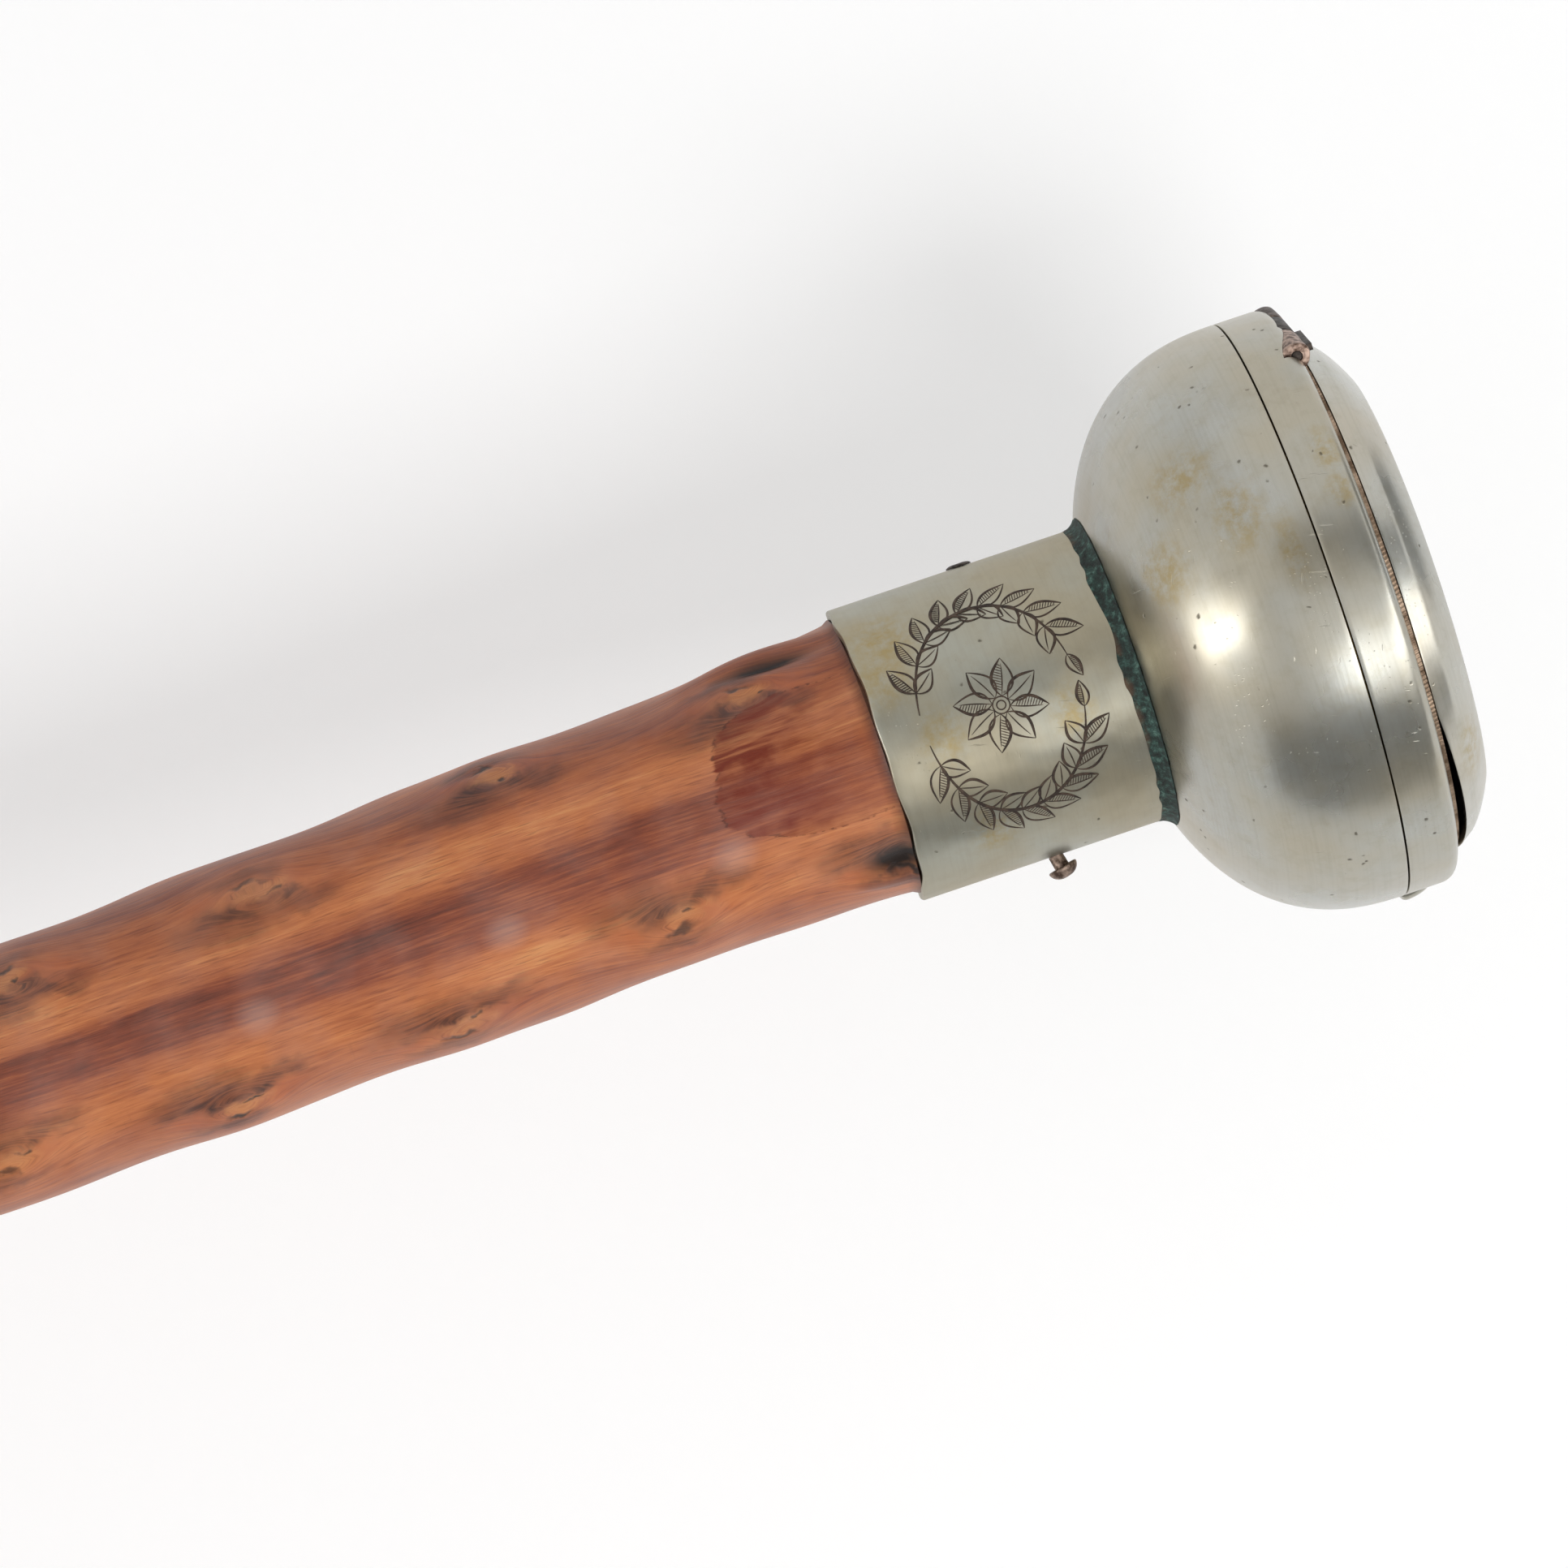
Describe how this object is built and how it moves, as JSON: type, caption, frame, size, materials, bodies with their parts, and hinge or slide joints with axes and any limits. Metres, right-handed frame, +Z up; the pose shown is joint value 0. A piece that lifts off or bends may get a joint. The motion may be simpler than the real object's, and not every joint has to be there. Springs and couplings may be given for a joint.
{
  "type": "watch-head walking stick",
  "caption": "Knotted wooden walking stick with a round metal knob built like a hunter watch case: a snap band and a hinged lid open over a key-wound watch.",
  "frame": {"origin": "centre of the foot, where the tip's plug meets the ground", "axes": "+Z up along the shaft to the lid, lid hinge on the -X side, thumb lip on the +X side"},
  "size_m": [0.0509, 0.05, 0.8982],
  "materials": {
    "wood": "satin varnish over knotted wood",
    "nickel_silver": "worn satin",
    "milled_brass": "milled, tarnished",
    "copper": "tarnished",
    "dark_iron": "dark, worn",
    "solder": "corroded green",
    "brass": "satin",
    "steel": "polished",
    "blued_steel": "blued, polished",
    "enamel": "gloss",
    "glass": "clear"
  },
  "bodies": {
    "stick": {"shaft": "wood", "tip_ferrule": "brass", "tip_plug": "dark_iron", "collar": "nickel_silver", "collar_pin": "copper", "collar_rivet": "dark_iron", "solder_fillet": "solder", "bowl": "nickel_silver", "case_ring": "brass", "main_plate": "brass", "top_plate": "brass", "plate_pillars": "brass", "plate_screws": "steel", "case_screws": "steel", "minute_stud": "steel", "dial": "enamel", "dial_feet": "copper", "balance_cock": "brass"},
    "band": {"bezel": "nickel_silver", "crystal": "glass", "thumb_lip": "nickel_silver", "milled_bead": "milled_brass", "bezel_knuckles": "copper", "hinge_pin": "dark_iron"},
    "cover": {"lid": "nickel_silver", "lid_knuckle": "nickel_silver"},
    "minute_work": {"centre_arbor": "steel", "cannon_pinion": "steel", "minute_hand": "blued_steel"},
    "hour_work": {"hour_wheel": "brass", "hour_hand": "blued_steel"},
    "transfer_wheel": {"minute_wheel": "brass"},
    "barrel": {"mainspring_barrel": "brass"},
    "key_arbor": {"winding_arbor": "steel"},
    "balance": {"balance_wheel": "brass", "balance_staff": "steel"}
  },
  "joints": [
    {"name": "band_lift", "type": "slide", "parent": "stick", "child": "band", "axis": [0, 0, 1], "range_m": [0, 0.015]},
    {"name": "lid_hinge", "type": "hinge", "parent": "band", "child": "cover", "pos_m": [-0.02315, 0, 0.89257], "axis": [0, -1, 0], "range_deg": [0, 110]},
    {"name": "minute_turn", "type": "hinge", "parent": "stick", "child": "minute_work", "pos_m": [0, 0, 0.8882], "axis": [0, 0, -1], "continuous": true},
    {"name": "hour_turn", "type": "hinge", "parent": "stick", "child": "hour_work", "pos_m": [0, 0, 0.8882], "axis": [0, 0, -1], "continuous": true},
    {"name": "transfer_turn", "type": "hinge", "parent": "stick", "child": "transfer_wheel", "pos_m": [0.00355, -0.00355, 0.8882], "axis": [0, 0, -1], "continuous": true},
    {"name": "barrel_turn", "type": "hinge", "parent": "stick", "child": "barrel", "pos_m": [-0.00528, 0.00754, 0.8882], "axis": [0, 0, -1], "continuous": true},
    {"name": "winding_turn", "type": "hinge", "parent": "stick", "child": "key_arbor", "pos_m": [-0.00528, 0.00754, 0.8882], "axis": [0, 0, -1], "continuous": true},
    {"name": "balance_swing", "type": "hinge", "parent": "stick", "child": "balance", "pos_m": [0.00703, -0.00492, 0.8882], "axis": [0, 0, -1], "range_deg": [-220, 220]}
  ],
  "couplings": [
    {"joint": "hour_turn", "follows": "minute_turn", "ratio": 0.083333},
    {"joint": "transfer_turn", "follows": "minute_turn", "ratio": -0.33333},
    {"joint": "barrel_turn", "follows": "minute_turn", "ratio": -0.16667}
  ]
}
